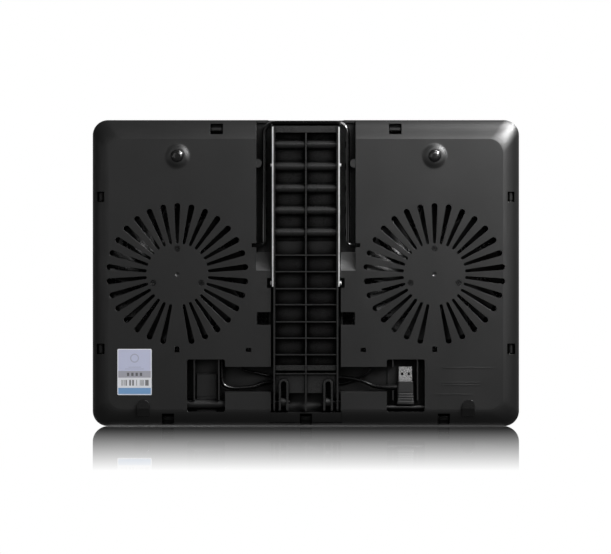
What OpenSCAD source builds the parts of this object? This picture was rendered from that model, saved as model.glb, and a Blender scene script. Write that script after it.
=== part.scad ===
/* [Overall] */
// Width of the pad, side to side
pad_w = 390; // [386:1:396]
// Depth of the pad, front edge to rear edge
pad_d = 280; // [279:0.5:282]
// Height from the foot bottoms to the top of the grip strips
pad_h = 28; // [28:0.5:30]
// Corner radius of the outline
corner_r = 14; // [10:1:18]

/* [Base shell] */
// Height of the flat underside above the table, which is the height of the feet
floor_z = 4; // [3.6:0.1:4.2]
// Thickness of the shell's floor
floor_t = 2.2; // [1.8:0.1:2.4]
// Thickness of ribs, liners and compartment walls
wall_t = 2; // [1.6:0.1:2.2]
// Height of the parting line between shell and deck frame
parting_z = 14; // [13.5:0.1:14.5]
// Width of the sloped band at the sides
bevel_side = 15; // [14:0.5:16]
// Width of the sloped band at the front
bevel_front = 15.5; // [14.5:0.5:16]
// Width of the sloped band at the rear
bevel_rear = 17.5; // [16.5:0.5:18]

/* [Fans] */
// Distance of each fan's axis from the centre line
fan_x = 117.4; // [116:0.1:119]
// Place of the fan axes, front to rear
fan_y = -1; // [-2:0.5:1]
// Radius of the circle on which the grille slots begin
slot_in_r = 28; // [27:0.5:30]
// Radius of the circle on which the grille slots end
slot_out_r = 65; // [62:0.5:66]
// Width of a slot at its inner end
slot_in_w = 2.7; // [2:0.1:3.4]
// Width of a slot at its outer end
slot_out_w = 5.4; // [4:0.1:6]
// Slots in a full circle; the one towards the front is left out
slot_count = 30; // [24:1:32]
// Radius of the blade tips
blade_r = 64; // [58:0.5:64.5]
// Blades on each impeller
blade_count = 9; // [5:1:11]
// Pitch of a blade from the flat
blade_pitch = 36; // [25:1:45]
// Radius of the circle of motor screws
screw_ring_r = 23.3; // [22.5:0.1:23.6]

/* [Stand arm] */
// Place of the arm's hinge axis, front to rear
hinge_y = -117.7; // [-118.5:0.1:-117]
// Height of the hinge axis and of the wire's pivot
axis_z = 8; // [8:0.1:8.4]
// Rear end of the arm
arm_end_y = 134.3; // [133:0.1:134.3]
// Half width over the arm's plastic side walls
arm_half_w = 29.6; // [29:0.1:29.8]
// Lowest edge of the arm when stowed
arm_low_z = 1.5; // [1:0.1:2]
// Highest edge of the arm when stowed
arm_top_z = 12.5; // [12:0.1:12.8]
// Place of the rearmost crossbar trough
trough_first_y = 117.6; // [117:0.1:118.5]
// Distance between troughs
trough_pitch = 20.08; // [19.5:0.01:20.2]
// Number of troughs
trough_count = 5; // [3:1:5]

/* [Prop wire] */
// Diameter of the wire
wire_d = 4.3; // [3.8:0.1:4.3]
// Distance of each leg from the centre line
wire_leg_x = 38; // [37.6:0.1:38]
// Place of the crossbar when stowed
crossbar_y = 137.1; // [137:0.1:137.3]
// Place of the wire's pivot axis
pivot_y = 25.5; // [25:0.1:26]
// Bend radius at the ends of the crossbar
wire_bend_r = 10; // [8:0.5:10]

/* [Cables] */
// Distance from the centre line to the middle of each compartment
box_x = 91.15; // [90:0.1:92]
// Width of a compartment
box_w = 34.7; // [34:0.1:35.5]
// Diameter of the power cable
cable_d = 3.4; // [2.8:0.1:3.4]
// Diameter of a fan lead
lead_d = 2.4; // [2:0.1:2.4]

/* [Hidden] */
$fn = 48;
EPS = 0.01;
FAR = 500;
SIDES = [-1, 1];

// Deck
grip_t = 1.6;
mesh_t = 0.6;
mesh_top_z = pad_h - grip_t;
frame_top_z = mesh_top_z + 0.6;
frame_wall = 2.4;
frame_lip = 9;
mesh_edge = 6;
frame_rib = 3;
frame_rib_h = 3.4;
rib_y = 73;
rib_x = 46;
rear_notch_w = 68.8;
rear_notch_d = 1;

// Base shell
flat_w = pad_w - 2 * bevel_side;
flat_d = pad_d - bevel_front - bevel_rear;
flat_front_y = -pad_d / 2 + bevel_front;
flat_r = 13;
outer_rise = parting_z - floor_z;
inner_z = floor_z + floor_t;
bevel_inset = 4;
flat_inset = 0.6;
// start and end tilt of the band's arc, at the sides, the front and the rear
SIDE_ARC = [9, 54];
FRONT_ARC = [3, 60];
REAR_ARC = [14, 52];
band_steps = 9;
foot_x = 117.5;
foot_y = 107;
foot_d = 11.5;
foot_flare_d = 25;
foot_skirt_h = 1.3;
foot_round_r = 2;
pad_foot_x = 148.3;
pad_foot_w = 11.4;
pad_foot_rear_y = -115.3;
pad_foot_front_y = -130.6;
pad_foot_tip_t = 1.2;
PAD_GAP = 0.005;

// Clip windows: place x, place y, size in x, size in y, direction of the nearest edge
CLIPS = [
    [81.6, 131.8, 11.5, 9.8, 90], [-81.6, 131.8, 11.5, 9.8, 90],
    [187.4, 69.8, 6.5, 9.2, 0], [-187.4, 69.8, 6.5, 9.2, 180],
    [187.6, -69.2, 7.5, 9.7, 0], [-187.6, -69.2, 7.5, 9.7, 180],
    [126, -133.2, 11, 10, 270], [0, -133.2, 11, 10, 270], [-126, -133.2, 11, 10, 270]
];
hook_t = 2.2;
hook_play = 1;
hook_low_z = 9.5;
hook_front_z = 14;
hook_root_z = 17;
hook_root_h = 5;

// Arm recess
recess_w = 90.8;
recess_z = 17.5;
ramp_top_y = 2.4;
ramp_foot_y = 19.4;
slot_w = 63.8;
nose_r = 9.1;
nose_gap = 0.4;
catch_y = 100.3;
catch_r = 4;
catch_x = 44.4;
catch_h = 8;
finger_w = 13;
finger_y = -41.4;
finger_d = 11.7;
relief_w = 66;
relief_rear_y = -126;
relief_front_y = -137;
relief_t = 0.8;
pocket_y = -9;
pocket_l = 9;
pocket_x = 35.5;
pocket_top_z = 11;
socket_end_x = 49.7;
socket_block_x = 51.6;
socket_block_l = 12;
socket_entry = 3.6;
socket_play = 0.1;

// Arm
side_t = 1.5;
rail_t = 1.3;
rail_half_w = arm_half_w + rail_t;
inside_w = 2 * (arm_half_w - side_t);
trough_r = 2.5;
trough_skin = 1.7;
rail_notch_r = 3.1;
web_t = 1.6;
web_rear_z = arm_top_z - web_t;
web_mid_z = 9;
web_step_y = 29;
rib_low_z = 2.3;
rib_t = 1.1;
spine_t = 1.4;
spine_low_z = 2.8;
RIB_Y = [16.4, 1.3, -14.2, -28.8, -44.5, -59.4, -74.5, -91.8];
band_y = -86.5;
band_w = 4.6;
band_z = 3.6;
plate_rear_y = -92;
plate_front_y = -109.4;
plate_z = 4.4;
end_plate_y = 128.4;
end_plate_z = 2.6;
hairpin_x = 20.3;
hairpin_w = 8.8;
hairpin_slot = 5;
hairpin_rear_y = -96.8;
pin_r = 1.5;
pin_play = 0.05;
pin_in_x = 14.8;
pin_out_x = 34.4;
lug_play = 0.25;
lug_r = 4.4;
rail_rear_y = 133.5;
rail_front_y = -12.2;
RIVETS = [[98.7, 3.2, 1.3, 1.2], [pocket_y, 7, 2, 1.6]]; // place y, place z, head radius, head height
rivet_r = 0.9;
TROUGH_Y = [for (i = [0 : trough_count - 1]) trough_first_y - i * trough_pitch];

// Wire
wire_r = wire_d / 2;
wire_foot_r = 3.4;
wire_foot_x = 49.3;

// Fan insides, upwards from the floor
flange_r = 25.6;
flange_t = 2.4;
flange_top_z = inner_z + flange_t;
tube_r = 4.6;
tube_in_r = 3.2;
tube_top_z = 17.4;
board_z = flange_top_z + 0.2;
board_t = 1.1;
board_r = 19.6;
core_z = 10.9;
core_h = 5.4;
core_r = 19.5;
core_neck_w = 5;
core_hub_r = 8;
core_shoe_in_r = 16.4;
coil_w = 9.6;
coil_h = 8.4;
shaft_r = 1.5;
shaft_low_z = 7.2;
hub_r = 25.6;
hub_wall = 1.6;
hub_low_z = 9.4;
hub_top_z = 21.3;
cup_t = 1;
magnet_t = 2.4;
magnet_h = 7;
blade_low_z = 9.6;
blade_top_z = 20.9;
blade_t = 1.5;
blade_chord = 21;
duct_r = 66.5;
duct_t = 1.5;
duct_top_z = 21.5;
screw_head_r = 2.6;
screw_head_h = 1;
screw_low_z = floor_z + 0.3;
screw_r = 1.3;
screw_sink = 1.3;
SCREW_A = [90, 90 + 109.7, 90 - 109.7];

// Compartments and cable run
box_rear_y = -78.8;
box_front_y = -126.7;
box_top_z = 17;
box_r = 2;
box_rail_t = 1.2;
BOX_RAILS = [79.5, 101.9];
box_rail_front_y = -116;
box_groove = 2.2;
box_ridge_y = -112;
box_ridge_t = 0.6;
box_step_y = -92;
box_step_z = 13.5;
ledge_front_y = -124.4;
ledge_left_y = -115.2;
ledge_right_y = -120.6;
ledge_z = 8.8;
run_rear_y = -85.6;
run_front_y = -108.3;
run_top_z = 19.4;
HOOK_WINDOWS = [[117.6, -69.7, 4.5, 5.5], [52.4, -70.2, 5, 4]]; // place x, place y, size in x, size in y
wire_hook_w = 3;
wire_hook_t = 1.2;
wire_hook_z = 10.4;
lead_z = 7.7;
lead_row_y = -70.6;
lead_r = lead_d / 2;
lead_bend_r = 3;
cable_r = cable_d / 2;
cable_arm_z = 14.5;
lead_arm_z = 17.9;
splice_low_x = 64.5;
splice_high_x = 72.5;
plug_x = -90.95;
plug_z = 10.4;
plug_shell_w = 12;
plug_shell_h = 4.5;
plug_shell_t = 0.3;
plug_tip_y = -85.4;
plug_root_y = -98.7;
plug_back_y = -120;
plug_body_w = 17.2;
plug_body_h = 8;
plug_body_r = 2.4;
plug_entry_y = -104.3;
socket_w = 13.2;
socket_h = 5.6;
socket_depth = 12;
tongue_w = 11;
tongue_h = 1.9;
CONTACT_X = [-3.5, -1, 1, 3.5];
HOLE_X = [-3.1, 3.1];

// Raised lines: place y, low x, high x
LINES = [[-86.2, -170, -125], [-99.8, -159, -124], [-102.2, -159, -124], [-110.6, -152, -119]];
line_w = 0.6;
line_h = 0.35;

// Label
label_x = 156.35;
label_y = -90.25;
label_w = 31.3;
label_d = 42.1;
label_t = 0.15;

// ---------- shared shapes ----------

module rounded_rect(w, d, r) {
    square([w - 2 * r, d], center = true);
    square([w, d - 2 * r], center = true);
    for (x = SIDES, y = SIDES)
        translate([x * (w / 2 - r), y * (d / 2 - r)]) circle(r);
}

// A box given by its low and high corners
module span(low, high) {
    translate(low) cube(high - low);
}

// The same box on both sides of the centre line
module both_spans(low, high) {
    for (s = [0, 1]) mirror([s, 0, 0]) span(low, high);
}

// A side profile, drawn front to rear and upwards, made w wide across the pad
module across(w, x = 0) {
    translate([x - w / 2, 0, 0]) rotate([90, 0, 90]) linear_extrude(w) children();
}

// A round bar across the pad
module cross_bar(r, w, y, z, x = 0) {
    translate([x - w / 2, y, z]) rotate([0, 90, 0]) cylinder(h = w, r = r);
}

// Share of the band's width reached at a share of its rise, on an arc between two tilts
function arc_share(rise, arc) =
    let (a = acos(cos(arc[0]) - rise * (cos(arc[0]) - cos(arc[1]))))
        (sin(a) - sin(arc[0])) / (sin(arc[1]) - sin(arc[0]));

// Places along the curved band, as shares of its rise, from the flat outwards
RISES = [for (i = [0 : band_steps]) pow(i / band_steps, 1.7)];

// A pan that curves from one rounded outline up to another: each is
// [z, half width, front y, rear y, corner radius]
module curved_pan(low, high) {
    hull() for (rise = RISES) {
        shares = [rise, arc_share(rise, SIDE_ARC), arc_share(rise, FRONT_ARC),
                  arc_share(rise, REAR_ARC), arc_share(rise, SIDE_ARC)];
        at = [for (i = [0 : 4]) low[i] + shares[i] * (high[i] - low[i])];
        translate([0, (at[2] + at[3]) / 2, min(at[0], high[0] - EPS)])
            linear_extrude(EPS) rounded_rect(2 * at[1], at[3] - at[2], at[4], $fn = 56);
    }
}

module rod(a, b, r) {
    d = b - a;
    translate(a) rotate([0, acos(d[2] / norm(d)), atan2(d[1], d[0])])
        cylinder(h = norm(d), r = r);
}

// A round cable along a list of points, with round ends
module cable(points, r) {
    for (i = [0 : len(points) - 2]) hull()
        for (p = [points[i], points[i + 1]]) translate(p) sphere(r, $fn = 14);
}

// A quarter bend of round bar in a level plane
module level_arc(centre, bend_r, start, r) {
    translate(centre) rotate(start) rotate_extrude(angle = 90)
        translate([bend_r, 0]) circle(r, $fn = 32);
}

// ---------- base shell ----------

module outer_pan() {
    curved_pan([floor_z, flat_w / 2, flat_front_y, flat_front_y + flat_d, flat_r],
               [parting_z, pad_w / 2, -pad_d / 2, pad_d / 2, corner_r]);
}

module inner_pan() {
    curved_pan([inner_z, flat_w / 2 - flat_inset, flat_front_y + flat_inset,
                flat_front_y + flat_d - flat_inset, flat_r],
               [parting_z + EPS, pad_w / 2 - bevel_inset, -pad_d / 2 + bevel_inset,
                pad_d / 2 - bevel_inset, corner_r - bevel_inset]);
}

// Everything that may be part of the shell: the pan, and the room inside the deck frame
module envelope() {
    outer_pan();
    translate([0, 0, parting_z - EPS]) linear_extrude(pad_h)
        rounded_rect(pad_w - 2 * bevel_inset, pad_d - 2 * frame_wall - 1, corner_r - bevel_inset);
}

// Deep recess with its ramp, grown by g for the liner round it
module recess_profile(g = 0) {
    rise = (recess_z - floor_z) / (ramp_foot_y - ramp_top_y);
    low_y = ramp_top_y - 1 / rise;
    polygon([[low_y - 2 * g, floor_z - 1], [ramp_foot_y - g, recess_z + g],
             [pad_d / 2 + 1, recess_z + g], [pad_d / 2 + 1, floor_z - 1]]);
}

// Narrow recess that holds the front half of the arm
module slot_profile(g = 0) {
    translate([hinge_y, axis_z]) circle(nose_r + nose_gap + g);
    translate([hinge_y - nose_r - nose_gap - g, floor_z - 3])
        square([nose_r + nose_gap + g, axis_z - floor_z + 3]);
    translate([hinge_y, floor_z - 3])
        square([ramp_foot_y + 2 - hinge_y, recess_z + g - floor_z + 3]);
}

module recess(g = 0) {
    across(recess_w + 2 * g) recess_profile(g);
    across(slot_w + 2 * g) slot_profile(g);
}

module compartments(g = 0) {
    for (s = SIDES)
        translate([s * box_x, (box_rear_y + box_front_y) / 2, floor_z - 1])
            linear_extrude(box_top_z + g - floor_z + 1)
                rounded_rect(box_w + 2 * g, box_rear_y - box_front_y + 2 * g, box_r + g);
}

module cable_run(g = 0) {
    reach = box_x - box_w / 2 + 1;
    span([-reach, run_front_y - g, floor_z - 1], [reach, run_rear_y + g, run_top_z + g]);
}

module grille_slots() {
    mid_in = slot_in_r + slot_in_w / 2;
    mid_out = slot_out_r - slot_out_w / 2;
    for (i = [1 : slot_count - 1]) rotate(i * 360 / slot_count - 90) {
        translate([mid_in, 0]) circle(d = slot_in_w, $fn = 24);
        translate([mid_out, 0]) circle(d = slot_out_w, $fn = 24);
        polygon([[mid_in, -slot_in_w / 2], [mid_out, -slot_out_w / 2],
                 [mid_out, slot_out_w / 2], [mid_in, slot_in_w / 2]]);
    }
}

module grilles() {
    for (s = SIDES) translate([s * fan_x, fan_y, floor_z - 1]) {
        linear_extrude(blade_low_z - floor_z) grille_slots();
        for (a = SCREW_A) rotate(a) translate([screw_ring_r, 0, 0]) {
            cylinder(h = screw_sink + 1, r = screw_head_r + 0.2);
            cylinder(h = floor_t + 2, r = screw_r + 0.15);
        }
        translate([0, 0, -3.3]) sphere(4.8);
    }
}

module ducts() {
    for (s = SIDES) translate([s * fan_x, fan_y, inner_z - 1]) difference() {
        cylinder(h = duct_top_z - inner_z + 1, r = duct_r + duct_t, $fn = 96);
        translate([0, 0, -1]) cylinder(h = duct_top_z, r = duct_r, $fn = 96);
        span([-3, -duct_r - 5, 0], [3, 0, wire_hook_z - inner_z + 1]);
    }
}

module clip_windows() {
    for (c = CLIPS) translate([c[0] - c[2] / 2, c[1] - c[3] / 2, floor_z - 1])
        cube([c[2], c[3], parting_z - floor_z + 2]);
    for (h = HOOK_WINDOWS, s = SIDES)
        translate([s * h[0] - h[2] / 2, h[1] - h[3] / 2, floor_z - 1])
            cube([h[2], h[3], floor_t + 2]);
}

// Snap-in sockets of the wire's feet, open to the underside
module wire_sockets() {
    w = 2 * (wire_r + socket_play);
    both_spans([recess_w / 2 - 1, pivot_y - socket_entry / 2, floor_z - 1],
               [socket_end_x, pivot_y + socket_entry / 2, axis_z]);
    both_spans([recess_w / 2 - 1, pivot_y - w / 2, axis_z - wire_r - 0.2],
               [socket_end_x, pivot_y + w / 2, axis_z]);
    cross_bar(w / 2, 2 * socket_end_x, pivot_y, axis_z);
}

// Underside of the front band, from the flat outwards, lifted by t
function front_band(t = 0) =
    [for (rise = RISES)
        [flat_front_y - arc_share(rise, FRONT_ARC) * bevel_front, floor_z + rise * outer_rise + t]];

// Shallow relief in the front band, ahead of the arm's nose
module front_relief() {
    across(relief_w) intersection() {
        polygon(concat(front_band(relief_t), [[-pad_d / 2, 0], [flat_front_y, 0]]));
        translate([relief_front_y, 0]) square([relief_rear_y - relief_front_y, parting_z]);
    }
}

// Skirts of the shell round the rear feet, eased into the flat
module foot_flares() {
    in_r = foot_d / 2 + 0.3;
    run = foot_flare_d / 2 - in_r;
    slope = [for (u = [0 : 0.1 : 1]) [in_r + u * run, floor_z - foot_skirt_h * (1 + cos(180 * u)) / 2]];
    for (s = SIDES) translate([s * foot_x, foot_y, 0]) rotate_extrude($fn = 64)
        polygon(concat([[0, floor_z - foot_skirt_h]], slope, [[foot_flare_d / 2, floor_z + EPS],
                       [0, floor_z + EPS]]));
}

module compartment_fittings(s) {
    for (x = BOX_RAILS) difference() {
        span([s * x - box_rail_t / 2, box_rail_front_y, floor_z + 1.2],
             [s * x + box_rail_t / 2, box_rear_y + EPS, box_top_z + EPS]);
        if (x == BOX_RAILS[0] && s < 0)
            span([s * x - 2, run_front_y + 1, floor_z], [s * x + 2, run_rear_y, box_top_z]);
    }
    if (s > 0) {
        low_x = BOX_RAILS[0] + box_groove;
        high_x = BOX_RAILS[1] - box_groove;
        span([low_x, box_front_y - EPS, box_step_z], [high_x, box_step_y, box_top_z + EPS]);
        for (y = [box_step_y, box_ridge_y])
            span([low_x, y - box_ridge_t, box_step_z - box_ridge_t], [high_x, y, box_step_z + EPS]);
    }
    // a rounded ledge across the front end
    ledge_rear_y = s > 0 ? ledge_left_y : ledge_right_y;
    ledge_r = (ledge_rear_y - ledge_front_y) / 2;
    across(box_w + EPS, s * box_x) {
        translate([ledge_front_y + ledge_r, ledge_z + ledge_r]) circle(ledge_r);
        translate([ledge_front_y, ledge_z + ledge_r])
            square([2 * ledge_r, box_top_z + EPS - ledge_z - ledge_r]);
    }
}

// Small L-shaped hooks that keep the fan leads down
module wire_hooks() {
    for (h = HOOK_WINDOWS, s = SIDES) translate([s * h[0], lead_row_y, inner_z - EPS]) {
        translate([-wire_hook_w / 2, -lead_r - 0.3 - wire_hook_t, 0])
            cube([wire_hook_w, wire_hook_t, wire_hook_z - inner_z]);
        translate([-wire_hook_w / 2, -lead_r - 0.3 - wire_hook_t, wire_hook_z - inner_z - wire_hook_t])
            cube([wire_hook_w, 2 * lead_r + wire_hook_t, wire_hook_t]);
    }
}

module hinge_lugs() {
    w = hairpin_slot - 2 * lug_play;
    for (s = SIDES) across(w, s * hairpin_x) difference() {
        union() {
            translate([hinge_y, axis_z]) circle(lug_r);
            translate([hinge_y - lug_r, axis_z])
                square([2 * lug_r, recess_z - axis_z + EPS]);
        }
        translate([hinge_y, axis_z]) circle(pin_r);
    }
}

// Plain raised lines on the flat
module moulded_lines() {
    for (l = LINES)
        span([l[1], l[0] - line_w / 2, floor_z - line_h],
             [l[2], l[0] + line_w / 2, floor_z + EPS]);
}

module lead_holes() {
    // where the right fan's lead leaves and enters the shell at the cable run
    for (s = SIDES) rod([s * 59, run_rear_y - 1, lead_z + 3.5], [s * 59, run_rear_y + 4, lead_z + 3.5],
                        lead_r + 0.25);
    // where the power cable leaves the left compartment
    rod([76.7, box_rear_y - 1, lead_z + 3], [76.7, box_rear_y + 4, lead_z + 3], cable_r + 0.25);
}

module base_shell() {
    color("#26282a") {
        difference() {
            union() {
                difference() {
                    outer_pan();
                    inner_pan();
                }
                intersection() {
                    union() {
                        recess(wall_t);
                        compartments(wall_t);
                        cable_run(wall_t);
                        both_spans([recess_w / 2, pivot_y - socket_block_l / 2, inner_z - 1],
                                   [socket_block_x, pivot_y + socket_block_l / 2, axis_z + 5]);
                        both_spans([slot_w / 2, pocket_y - pocket_l / 2 - wall_t, inner_z - 1],
                                   [pocket_x + wall_t, pocket_y + pocket_l / 2 + wall_t,
                                    pocket_top_z + wall_t]);
                        both_spans([slot_w / 2, hinge_y - lug_r, inner_z - 1],
                                   [pin_out_x + wall_t, hinge_y + lug_r, axis_z + lug_r]);
                        ducts();
                    }
                    envelope();
                }
                foot_flares();
            }
            recess();
            compartments();
            cable_run();
            grilles();
            clip_windows();
            wire_sockets();
            front_relief();
            lead_holes();
            both_spans([slot_w / 2 - 1, pocket_y - pocket_l / 2, floor_z - 1],
                       [pocket_x, pocket_y + pocket_l / 2, pocket_top_z]);
            both_spans([slot_w / 2 - 1, finger_y - finger_d / 2, floor_z - 1],
                       [slot_w / 2 + finger_w, finger_y + finger_d / 2, recess_z - 2]);
            cross_bar(pin_r, 2 * pin_out_x, hinge_y, axis_z);
        }
        hinge_lugs();
        moulded_lines();
        wire_hooks();
        compartment_fittings(1);
        compartment_fittings(-1);
        for (s = SIDES) intersection() {
            translate([s * catch_x, catch_y, floor_z + 0.5]) cylinder(h = catch_h, r = catch_r);
            span([s * recess_w / 2 - (s > 0 ? catch_r + 2 : 0.5), 0, 0],
                 [s * recess_w / 2 + (s > 0 ? 0.5 : catch_r + 2), FAR, FAR]);
        }
    }
}

// ---------- deck ----------

module frame_outline() {
    hull() {
        translate([0, 0, parting_z]) linear_extrude(EPS)
            rounded_rect(pad_w, pad_d, corner_r, $fn = 56);
        for (step = [[2.4, 0], [1, 0.5], [0.35, 1.1], [0, 2.2]])
            translate([0, 0, frame_top_z - step[0] - EPS]) linear_extrude(EPS)
                rounded_rect(pad_w - 2 * step[1], pad_d - 2 * step[1], corner_r - step[1], $fn = 56);
    }
}

// One snap hook, pointing down from the frame wall; the wall is on the +X side at reach
module snap_hook(w, reach, low_z) {
    translate([-hook_t / 2, -w / 2, low_z]) cube([hook_t, w, hook_root_z + hook_root_h - low_z]);
    translate([-hook_t / 2, -w / 2, hook_root_z]) cube([reach + hook_t / 2 + EPS, w, hook_root_h]);
    translate([0, w / 2, 0]) rotate([90, 0, 0]) linear_extrude(w)
        polygon([[-hook_t / 2 + EPS, low_z], [-hook_t / 2 + EPS, low_z + 2],
                 [-hook_t / 2 - 1, low_z + 1.6]]);
}

module top_frame() {
    color("#232527") {
        difference() {
            frame_outline();
            translate([0, 0, parting_z - 1]) linear_extrude(mesh_top_z - mesh_t - 1.6 - parting_z + 1)
                rounded_rect(pad_w - 2 * frame_wall, pad_d - 2 * frame_wall, corner_r - frame_wall);
            translate([0, 0, parting_z]) linear_extrude(pad_h)
                rounded_rect(pad_w - 2 * frame_lip, pad_d - 2 * frame_lip, 6);
            translate([0, 0, mesh_top_z - mesh_t]) linear_extrude(pad_h)
                rounded_rect(pad_w - 2 * mesh_edge, pad_d - 2 * mesh_edge, 9);
            span([-rear_notch_w / 2, pad_d / 2 - rear_notch_d, parting_z - 1],
                 [rear_notch_w / 2, pad_d, frame_top_z - 4]);
        }
        // ribs that carry the deck sheet
        rib_end = [pad_w / 2 - frame_lip + 1, pad_d / 2 - frame_lip + 1];
        rib_top_z = mesh_top_z - mesh_t;
        for (s = SIDES) {
            span([-rib_end[0], s * rib_y - frame_rib / 2, rib_top_z - frame_rib_h],
                 [rib_end[0], s * rib_y + frame_rib / 2, rib_top_z]);
            span([s * rib_x - frame_rib / 2, -rib_end[1], rib_top_z - frame_rib_h],
                 [s * rib_x + frame_rib / 2, rib_end[1], rib_top_z]);
        }
        for (c = CLIPS) {
            side = c[4] % 180 == 0;
            edge = side ? pad_w / 2 - abs(c[0]) : pad_d / 2 - abs(c[1]);
            width = (side ? c[3] : c[2]) - 2 * hook_play;
            low_z = c[1] < flat_front_y ? hook_front_z : hook_low_z;
            translate([c[0], c[1], 0]) rotate(c[4]) snap_hook(width, edge - frame_wall, low_z);
        }
    }
}

module mesh_panel() {
    color("#1c1d1f")
        translate([0, 0, mesh_top_z - mesh_t]) linear_extrude(mesh_t)
            rounded_rect(pad_w - 2 * mesh_edge - 0.4, pad_d - 2 * mesh_edge - 0.4, 8.8);
}

module grip_strips() {
    grip_l = 84;
    grip_w = 9;
    color("#1a1a1a")
        for (x = SIDES, y = SIDES) translate([x * 108, y * 112, mesh_top_z]) linear_extrude(grip_t)
            rounded_rect(grip_l, grip_w, grip_w / 2 - EPS);
}

module rear_feet() {
    foot_h = floor_z - foot_skirt_h;
    color("#2a2b2d")
        for (s = SIDES) translate([s * foot_x, foot_y, 0]) rotate_extrude($fn = 64) {
            square([foot_d / 2 - foot_round_r, foot_h]);
            intersection() {
                translate([foot_d / 2 - foot_round_r, foot_round_r]) circle(foot_round_r);
                square([foot_d / 2, foot_h]);
            }
            translate([0, foot_round_r]) square([foot_d / 2, foot_h - foot_round_r]);
        }
}

// The front pads are flat on the table and rise with the band at their front ends
module front_feet() {
    arch_y = pad_foot_rear_y - pad_foot_w / 2;
    tip_z = lookup(-pad_foot_front_y, [for (b = front_band()) [-b[0], b[1]]]) - pad_foot_tip_t;
    color("#222426") intersection() {
        for (s = SIDES) translate([s * pad_foot_x, 0, 0]) linear_extrude(FAR) {
            translate([0, arch_y]) circle(pad_foot_w / 2);
            translate([-pad_foot_w / 2, pad_foot_front_y])
                square([pad_foot_w, arch_y - pad_foot_front_y]);
        }
        across(pad_w) polygon(concat([[pad_foot_front_y, tip_z], [flat_front_y + 1, 0],
                                      [pad_foot_rear_y, 0], [pad_foot_rear_y, floor_z - PAD_GAP]],
                                     front_band(-PAD_GAP)));
    }
}

module rating_label() {
    color("#d9dbe8")
        translate([label_x, label_y, floor_z - label_t]) linear_extrude(label_t)
            rounded_rect(label_w, label_d, 1);
}

// ---------- stand arm ----------

module arm_side(front_y, rear_y, notch_r) {
    difference() {
        union() {
            translate([max(front_y, hinge_y), arm_low_z])
                square([rear_y - max(front_y, hinge_y), arm_top_z - arm_low_z]);
            if (front_y < hinge_y) intersection() {
                translate([hinge_y, axis_z]) circle(nose_r);
                translate([front_y, arm_low_z])
                    square([hinge_y - front_y + EPS, arm_top_z - arm_low_z]);
            }
        }
        troughs_profile(notch_r);
        for (v = RIVETS) translate([v[0], v[1]]) circle(rivet_r);
    }
}

module troughs_profile(r) {
    for (y = TROUGH_Y) translate([y, axis_z]) {
        circle(r);
        translate([-r, 0]) square([2 * r, arm_top_z - axis_z + 1]);
    }
}

module corrugated_profile() {
    difference() {
        union() {
            translate([web_step_y, web_rear_z]) square([arm_end_y - web_step_y, web_t]);
            translate([web_step_y - rib_t, web_mid_z]) square([rib_t, arm_top_z - web_mid_z]);
            troughs_profile_outer();
            translate([end_plate_y, end_plate_z]) square([arm_end_y - end_plate_y, 1.8]);
            translate([arm_end_y - 1.8, end_plate_z]) square([1.8, arm_top_z - end_plate_z]);
        }
        troughs_profile(trough_r);
    }
}

module troughs_profile_outer() {
    r = trough_r + trough_skin;
    for (y = TROUGH_Y) translate([y, axis_z]) {
        circle(r);
        translate([-r, 0]) square([2 * r, arm_top_z - axis_z]);
    }
}

// Web, cross ribs and raised parts of the arm's front half
module front_profile() {
    translate([plate_rear_y, web_mid_z]) square([web_step_y - plate_rear_y, web_t]);
    for (y = RIB_Y) translate([y - rib_t / 2, rib_low_z]) square([rib_t, web_mid_z - rib_low_z + web_t]);
    translate([band_y - band_w / 2, band_z]) square([band_w, web_mid_z - band_z + EPS]);
    translate([plate_front_y, plate_z]) square([plate_rear_y - plate_front_y, web_t]);
}

// The centre rib, down to the arm's nose
module spine_profile() {
    difference() {
        union() {
            intersection() {
                translate([hinge_y, axis_z]) circle(nose_r);
                translate([hinge_y - nose_r, spine_low_z])
                    square([nose_r + EPS, web_mid_z + web_t - spine_low_z]);
            }
            translate([hinge_y, spine_low_z])
                square([end_plate_y - hinge_y, web_mid_z + web_t - spine_low_z]);
        }
        troughs_profile(trough_r);
    }
}

// Hairpin walls round the hinge lugs, seen from below
module hairpins(w) {
    for (s = SIDES) translate([s * hairpin_x, 0]) {
        translate([0, hairpin_rear_y - hairpin_w / 2]) circle(w / 2);
        translate([-w / 2, hinge_y - nose_r - 1])
            square([w, hairpin_rear_y - hairpin_w / 2 - hinge_y + nose_r + 1]);
    }
}

module stand_arm() {
    nose_cut = 2 * nose_r;
    color("#2b2d2f") difference() {
        union() {
            for (s = SIDES) across(side_t, s * (arm_half_w - side_t / 2))
                arm_side(hinge_y - nose_r, arm_end_y, trough_r);
            across(inside_w + EPS) corrugated_profile();
            across(inside_w + EPS) front_profile();
            across(spine_t) spine_profile();
            intersection() {
                translate([0, 0, rib_low_z]) linear_extrude(arm_top_z - rib_low_z) hairpins(hairpin_w);
                across(inside_w) {
                    translate([hinge_y, axis_z]) circle(nose_r);
                    translate([hinge_y, 0]) square([nose_cut + 10, arm_top_z]);
                }
            }
        }
        translate([0, 0, -1]) linear_extrude(FAR) hairpins(hairpin_slot);
        cross_bar(pin_r + pin_play, 2 * pin_out_x, hinge_y, axis_z);
    }
}

module arm_rail(s) {
    color("#c9ccd0")
        across(rail_t, s * (arm_half_w + rail_t / 2))
            arm_side(rail_front_y, rail_rear_y, rail_notch_r);
}

module arm_rail_left() { arm_rail(1); }
module arm_rail_right() { arm_rail(-1); }

module rail_rivets() {
    color("#b9bcc0")
        for (v = RIVETS, s = [0, 1]) mirror([s, 0, 0]) {
            cross_bar(rivet_r, side_t + rail_t, v[0], v[1], arm_half_w + (rail_t - side_t) / 2);
            cross_bar(v[2], v[3], v[0], v[1], rail_half_w + v[3] / 2);
        }
}

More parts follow.
